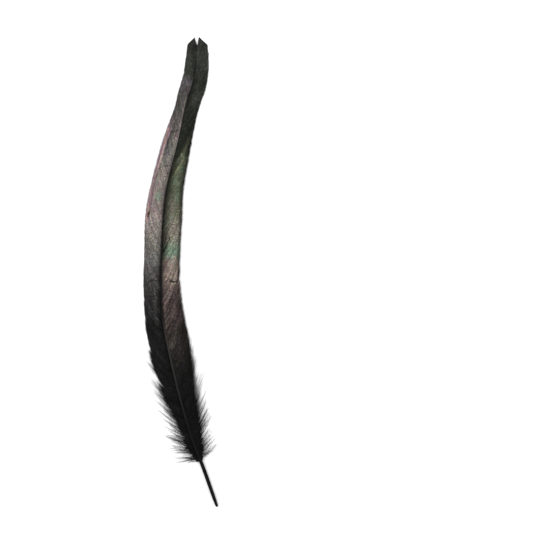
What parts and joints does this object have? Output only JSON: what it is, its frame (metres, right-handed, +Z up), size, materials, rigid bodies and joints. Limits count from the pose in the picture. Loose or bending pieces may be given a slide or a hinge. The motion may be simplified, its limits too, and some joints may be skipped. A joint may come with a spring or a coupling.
{
  "type": "rooster tail feather",
  "caption": "Long saber-curved tail feather, dyed black with a bronze, green and mauve gloss, lying on its hollow side; notched tip, thin shaft, loose down at the foot, bare quill.",
  "frame": {"origin": "on the surface that the feather lies on, under the middle of its bounding box", "axes": "+Y from the quill to the tip, +X to the right seen from above, +Z up from the surface, with the glossy side up"},
  "size_m": [0.0513, 0.3252, 0.0074],
  "materials": {
    "vane": "dyed black barbs with an iridescent bronze, olive, blue-green and mauve gloss",
    "shaft": "dyed black horn, smooth and slightly glossy",
    "down": "dyed black down, soft and dull"
  },
  "bodies": {
    "root": {"feather": "vane"}
  },
  "joints": []
}
